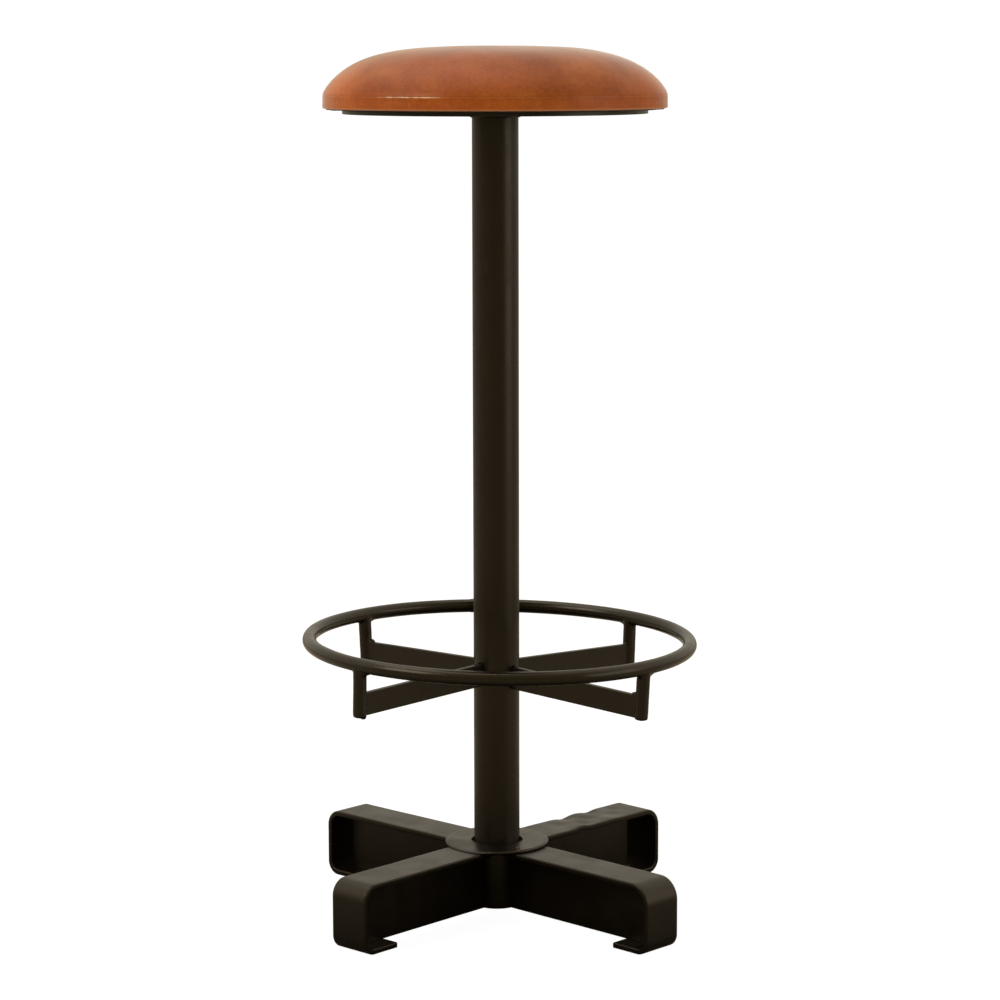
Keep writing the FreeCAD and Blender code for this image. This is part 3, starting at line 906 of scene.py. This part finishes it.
# Hammer marks on a strap's top: (distance from the column's axis, distance to the left of the
# strap's middle, half-width, depth), all in millimetres.
DENTS = {
    "rear_right": [(108, 17, 8, 2.0), (143, 16, 8, 1.9), (126, 15, 7, -0.6), (96, -18, 7, -1.5),
                   (110, -8, 8, 1.6), (124, 0, 8, 1.3), (138, -12, 8, -0.9), (86, 4, 9, 1.1),
                   (153, -4, 8, 1.0), (167, 8, 8, 0.8)],
    "front_left": [(120, -12, 14, 0.35)],
    "front_right": [(96, 10, 13, 0.3)],
    "rear_left": [(110, 6, 14, 0.3)],
}


def strap_direction(name):
    return arm_direction("base_web_" + name)


def strap_reach(name):
    """How far a strap's outer face stands from the column's axis, along the strap."""
    direction = strap_direction(name)
    return max(v.co.dot(direction) for v in NODES["base_strap_" + name].data.vertices)


def seed_of(name):
    return float(ARMS.index(name) + 1)


def strap_line(reach, top_bend):
    """The outer face's path in the plane of the strap: (distance out, height, outward normal)."""
    low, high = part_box("base_strap_front_left")[0].z, BASE_TOP
    runs = [("line", (0.0, high), (reach - top_bend, high), (0, 1)),
            ("bend", (reach - top_bend, high - top_bend), top_bend, 90.0),
            ("line", (reach, high - top_bend), (reach, low + FLOOR_BEND), (1, 0)),
            ("bend", (reach - FLOOR_BEND, low + FLOOR_BEND), FLOOR_BEND, 0.0),
            ("line", (reach - FLOOR_BEND, low), (reach - LIP_LENGTH, low), (0, -1))]
    spots = []
    for run in runs:
        if run[0] == "line":
            (x0, z0), (x1, z1), normal = run[1:]
            count = max(2, int(math.hypot(x1 - x0, z1 - z0) / STRAP_STEP))
            for i in range(count):
                t = i / count
                spots.append((x0 + (x1 - x0) * t, z0 + (z1 - z0) * t, normal))
        else:
            (cx, cz), radius, first = run[1:]
            for i in range(BEND_STEPS):
                turn = math.radians(first - 90.0 * i / BEND_STEPS)
                normal = (math.cos(turn), math.sin(turn))
                spots.append((cx + radius * normal[0], cz + radius * normal[1], normal))
    spots.append((reach - LIP_LENGTH, low, (0, -1)))
    return spots


def strap_section():
    """(across, depth below the outer face) round a flat bar with eased edges."""
    half, thick, edge = STRAP_WIDTH / 2, STRAP_THICKNESS, STRAP_EDGE
    loop = []
    for i in range(ACROSS_STEPS + 1):
        loop.append((-half + edge + (2 * half - 2 * edge) * i / ACROSS_STEPS, 0.0))
    turns = [math.pi / 2 * i / EDGE_STEPS for i in range(1, EDGE_STEPS)]
    loop += [(half - edge + edge * math.sin(t), edge - edge * math.cos(t)) for t in turns]
    loop += [(half, edge), (half, thick / 2), (half, thick - edge)]
    loop += [(half - edge + edge * math.cos(t), thick - edge + edge * math.sin(t)) for t in turns]
    back = [(-a, thick - d) for a, d in loop]
    return loop + back


def dent_depth(name, out, across):
    depth = 0.0
    for x, y, size, amount in DENTS[name]:
        gap = math.hypot(out / MM - x, across / MM - y) / size
        depth += amount * MM * math.exp(-gap * gap)
    return depth


def base_strap(name):
    direction = strap_direction(name)
    left = side_of(direction)
    reach = strap_reach(name)
    section = strap_section()
    sections = []
    line = strap_line(reach, TOP_BENDS[name])
    for x, z, (nx, nz) in line:
        loop = []
        for across, depth in section:
            start = max(math.sqrt(max(0.0, (COLUMN_RADIUS - STRAP_SUNK) ** 2 - across ** 2)),
                        abs(across) / math.tan(MITRE_HALF_ANGLE))
            out = x if x > HUB_BLEND else start + x / HUB_BLEND * (HUB_BLEND - start)
            rolled = ROLLED_WAVES * wave((out, across, seed_of(name)), 28.0, 50)
            sink = depth + rolled
            if nz > 0.5:
                past_collar = smoothstep(COLLAR_RADIUS, COLLAR_RADIUS + 12 * MM, out)
                sink += dent_depth(name, out, across) * past_collar
            bent = 1.0 - abs(abs(nx) - abs(nz)) if 0.02 < abs(nx) < 0.98 else 0.0
            flare = 1 + BEND_SPREAD * bent * (depth / STRAP_THICKNESS - 0.5)
            level = direction * (out - nx * sink) + left * (across * flare)
            loop.append(level + UP * (z - nz * sink))
        sections.append(loop)
    piece = make_piece("flat_bar_" + name, *tube_solid(sections, False), PAINT, "frame_paint")
    piece.data.materials.append(OVERSPRAY)
    around = len(section)
    for index, face in enumerate(piece.data.polygons):
        i, k = divmod(index, around)
        inner = min(section[k][1], section[(k + 1) % around][1]) > 0.98 * STRAP_THICKNESS
        if i + 1 < len(line) and inner and line[i + 1][0] > reach - TOP_BENDS[name]:
            face.material_index = 1
    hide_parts("base_strap_" + name)


def base_welds():
    for index, name in enumerate(ARMS):
        web = "base_web_" + name
        direction = strap_direction(name)
        low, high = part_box(web)[0].z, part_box(web)[1].z
        length = max(v.co.dot(direction) for v in NODES[web].data.vertices)
        parts = column_joint(direction, WEB_HALF, low + 1 * MM, high - 2 * MM, WEB_BEAD, 60 + index)
        for hand in (-1, 1):
            side = side_of(direction) * hand
            start = direction * (COLUMN_RADIUS + 1 * MM) + side * WEB_HALF + UP * high
            end = direction * (length - 2 * MM) + side * WEB_HALF + UP * high
            path = straight(start, end)
            arms = [corner_arms(side, -UP)] * len(path)
            parts.append(bead_solid(path, arms, STRAP_BEAD, 70 + index + hand))
        make_piece("weld_base_" + name, *joined(parts), OVERSPRAY, "frame_paint")


COLLAR_RINGS = 14
COLLAR_TURNS = 240
COLLAR_GAP, COLLAR_LIFT = 0.1 * MM, 0.05 * MM
COLLAR_EDGE = 0.5 * MM
COLLAR_BUCKLE = 0.35 * MM

# The front left of the collar is pressed down: where it starts and how far it runs, in degrees.
CREASE_START, CREASE_SPAN = 181.0, 84.0
CREASE_DEPTH = 1.9 * MM

# The middles of the collar's tack welds and half the run of each, and where the spatter lies.
TACK_TURNS, TACK_HALF_RUN = (-4.0, 95.0, 184.0), 16
SPATTER_SHARE, SPATTER_START, SPATTER_END = 0.84, -71, -60


def collar_washer():
    """The thin collar, buckled a little by the heat of its welds."""
    inner = COLUMN_RADIUS + COLLAR_GAP
    sections = []
    for i in range(COLLAR_TURNS):
        turn = 2 * math.pi * i / COLLAR_TURNS
        out = polar(turn)
        lobe = COLLAR_BUCKLE * wave_round(turn, 0.0, 1.9, 86)
        pressed = (math.degrees(turn) - CREASE_START) / CREASE_SPAN
        if 0 < pressed < 1:
            lobe -= CREASE_DEPTH * math.sin(math.pi * pressed)
        loop = []
        for k in range(COLLAR_RINGS + 1):
            radius = inner + (COLLAR_RADIUS - inner) * k / COLLAR_RINGS
            edge = COLLAR_EDGE if k == COLLAR_RINGS else 0.0
            loop.append(out * radius + UP * (COLLAR_HIGH.z - edge + lobe * k / COLLAR_RINGS))
        for k in range(COLLAR_RINGS, -1, -1):
            radius = inner + (COLLAR_RADIUS - inner) * k / COLLAR_RINGS
            loop.append(out * radius + UP * (COLLAR_LOW.z + COLLAR_LIFT))
        sections.append(loop)
    piece = make_piece("collar_washer", *tube_solid(sections, True), PAINT, "frame_paint")
    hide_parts("collar_disc")


def column_welds():
    seat = circle_bead(COLUMN_RADIUS, PLATE_LOW.z, PLATE_BEAD, -1, 80)
    make_piece("weld_seat_plate", *seat, PAINT, "frame_paint")
    tacks = [circle_bead(COLUMN_RADIUS, COLLAR_HIGH.z, TACK_BEAD, 1, 81 + i, turn - TACK_HALF_RUN,
                         turn + TACK_HALF_RUN) for i, turn in enumerate(TACK_TURNS)]
    make_piece("weld_collar", *joined(tacks), OVERSPRAY, "frame_paint")
    spatter = circle_bead(SPATTER_SHARE * COLLAR_RADIUS, COLLAR_HIGH.z, SPATTER_BEAD, 1, 85, SPATTER_START,
                          SPATTER_END)
    make_piece("weld_collar_spatter", *spatter, RUBBED_PAINT, "frame_paint")


# ---- dust cover ----

CLOTH_RINGS = 40
STAPLES_ROUND = 24
CLOTH_THINNER = 0.1 * MM
TRIM_UNEVEN = 0.5 * MM

# How far the cloth hangs between two staples and how deep its creases are, in millimetres.
CLOTH_SLACK, CLOTH_CREASES = 0.25, 0.12


def dust_cover_cloth():
    """Thin black cloth stapled flat under the board: slightly slack between its staples."""
    points, faces = [], []
    radii = [CLOTH_RADIUS * (i / CLOTH_RINGS) for i in range(CLOTH_RINGS + 1)]
    low_row = disc_cap([(r, CLOTH_LOW.z) for r in radii], points, faces)
    high_row = disc_cap([(r, CLOTH_HIGH.z - CLOTH_THINNER) for r in radii], points, faces)
    faces += band_faces(low_row, high_row)
    for spot in points:
        radius = math.hypot(spot.x, spot.y)
        turn = math.atan2(spot.y, spot.x)
        loose = smoothstep(PLATE_RADIUS, PLATE_RADIUS + 4 * MM, radius)
        ripple = 0.5 + 0.5 * math.sin(STAPLES_ROUND * turn + 2.0 * wave_round(turn, 0, 2.0, 90))
        spot.z -= loose * (CLOTH_SLACK * ripple + CLOTH_CREASES * wave(spot, 120.0, 91)) * MM
        if radius > 0.97 * CLOTH_RADIUS:
            trim = TRIM_UNEVEN * wave_round(turn, 0.5, 6.0, 92)
            spot.x += trim * math.cos(turn)
            spot.y += trim * math.sin(turn)
    piece = make_piece("dust_cover_cloth", points, faces, CLOTH, "dust_cloth")
    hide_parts("dust_cover")


# ---- studio ----

CAMERA_LENS_MM = 108.83
CAMERA_SENSOR_MM = 36.0
CAMERA_DISTANCE = 2.7558
CAMERA_HEIGHT = 0.7974
CAMERA_AZIMUTH = -0.0209
CAMERA_PAN = -0.0013
CAMERA_TILT = 0.1471
CAMERA_ROLL = -0.0023


def studio_camera():
    lens = bpy.data.cameras.new("studio_camera")
    lens.lens = CAMERA_LENS_MM
    lens.sensor_width = CAMERA_SENSOR_MM
    lens.clip_start, lens.clip_end = 0.05, 200.0
    camera = bpy.data.objects.new("studio_camera", lens)
    place = Vector((math.sin(CAMERA_AZIMUTH), -math.cos(CAMERA_AZIMUTH), 0)) * CAMERA_DISTANCE
    place.z = CAMERA_HEIGHT
    turned = Matrix.Rotation(CAMERA_AZIMUTH + CAMERA_PAN, 4, "Z")
    tilted = Matrix.Rotation(math.pi / 2 - CAMERA_TILT, 4, "X")
    rolled = Matrix.Rotation(CAMERA_ROLL, 4, "Z")
    camera.matrix_world = Matrix.Translation(place) @ (turned @ tilted @ rolled)
    bpy.context.scene.collection.objects.link(camera)
    bpy.context.scene.camera = camera


def area_light(name, place, target, size, power, colour=(1.0, 1.0, 1.0)):
    data = bpy.data.lights.new(name, "AREA")
    data.shape = "SQUARE"
    data.size = size
    data.energy = power
    data.color = colour
    lamp = bpy.data.objects.new(name, data)
    lamp.location = place
    lamp.rotation_euler = (Vector(target) - Vector(place)).to_track_quat("-Z", "Y").to_euler()
    bpy.context.scene.collection.objects.link(lamp)


def studio_light():
    """Three soft boxes, and a world that lights the stool from behind, the sides and above."""
    seat = (0.0, 0.0, 0.7)
    area_light("key_softbox", (-2.4, -1.3, 2.3), seat, 1.6, 32.0, (1.0, 0.98, 0.95))
    area_light("fill_softbox", (2.3, -1.0, 0.8), (0.0, 0.0, 0.5), 1.5, 9.2)
    area_light("top_softbox", (-0.7, 0.4, 3.2), (0, 0, 0), 2.4, 22.0)
    world = bpy.data.worlds.new("studio_world")
    world.use_nodes = True
    w = Nodes(world.node_tree, "Generated")
    split = w.node("ShaderNodeSeparateXYZ", {"Vector": w.place})
    depth = w.ranged(split.outputs["Y"], -1.0, 1.0, 0.0, 1.0)
    behind = w.ramp(depth, [(0.10, (0.46, 0.38, 0.22)), (0.35, (0.52, 0.45, 0.33)),
                            (0.50, (0.97, 0.88, 0.73)), (0.95, (0.66, 0.60, 0.49))])
    level = w.ranged(split.outputs["Z"], -1.0, 1.0, 0.0, 1.0)
    above = w.ramp(level, [(0.50, (0.95, 0.95, 0.95)), (1.0, (1.4, 1.4, 1.4))])
    light = w.mixed(1.0, behind, above, "MULTIPLY")
    w.tree.links.new(light, w.tree.nodes["Background"].inputs["Color"])
    bpy.context.scene.world = world


STAGE_RADIUS = 30.0


def stage_piece(name, points, faces, material, seen=True):
    """A part of the set: either only the camera sees it, or only the stool does."""
    piece = mesh_object(name, points, faces, material)
    piece.visible_camera = seen
    piece.visible_diffuse = piece.visible_glossy = not seen
    piece.visible_shadow = False


def studio_set():
    """A white floor and dome for the camera, and a darker table that only lights and mirrors in the stool."""
    f = Finish("studio_floor", Roughness=0.9, Specular_IOR_Level=0.0,
               Emission_Color=(1.0, 1.0, 1.0, 1.0), Emission_Strength=0.97)
    f.set("Base Color", f.ramp(f.noise(3.0, 3.0), [(0.3, (0.27, 0.27, 0.27)), (0.7, (0.30, 0.30, 0.30))]))
    points, faces = [], []
    disc_cap([(STAGE_RADIUS * i / 12, -0.05 * MM) for i in range(13)], points, faces)
    stage_piece("studio_floor", points, faces, f.material)
    g = Finish("studio_table", Roughness=0.9, Specular_IOR_Level=0.0)
    reach = g.node("ShaderNodeVectorMath", {0: g.place}, operation="LENGTH").outputs["Value"]
    # Painted shade: the table is nearly black right under the stool and pales outward, standing in for the
    # floor's shadow there in what the stool mirrors and the light it bounces.
    g.set("Base Color", g.ramp(reach, [(0.13, (0.03, 0.027, 0.022)), (0.55, (0.42, 0.38, 0.32))]))
    stage_piece("studio_table", points, faces, g.material, seen=False)
    d = Finish("studio_dome", Base_Color=(0.0, 0.0, 0.0, 1.0), Specular_IOR_Level=0.0,
               Emission_Strength=1.0)
    d.set("Emission Color", d.ramp(d.noise(0.1, 2.0), [(0.3, (1.02, 1.02, 1.02)), (0.7, (1.05, 1.05, 1.05))]))
    points, faces = [], []
    turns = [math.pi / 2 * i / 24 for i in range(25)]
    disc_cap([(STAGE_RADIUS * math.sin(t), STAGE_RADIUS * math.cos(t)) for t in turns], points, faces)
    stage_piece("studio_dome", points, faces, d.material)


def set_up_colour():
    view = bpy.context.scene.view_settings
    view.view_transform = "Standard"
    view.look = "None"


studio_camera()
studio_light()
studio_set()
set_up_colour()
dress_cad_nodes()
seat_cushion()
dust_cover_cloth()
footrest_hoop()
footrest_welds()
for arm in ARMS:
    base_strap(arm)
base_welds()
collar_washer()
column_welds()
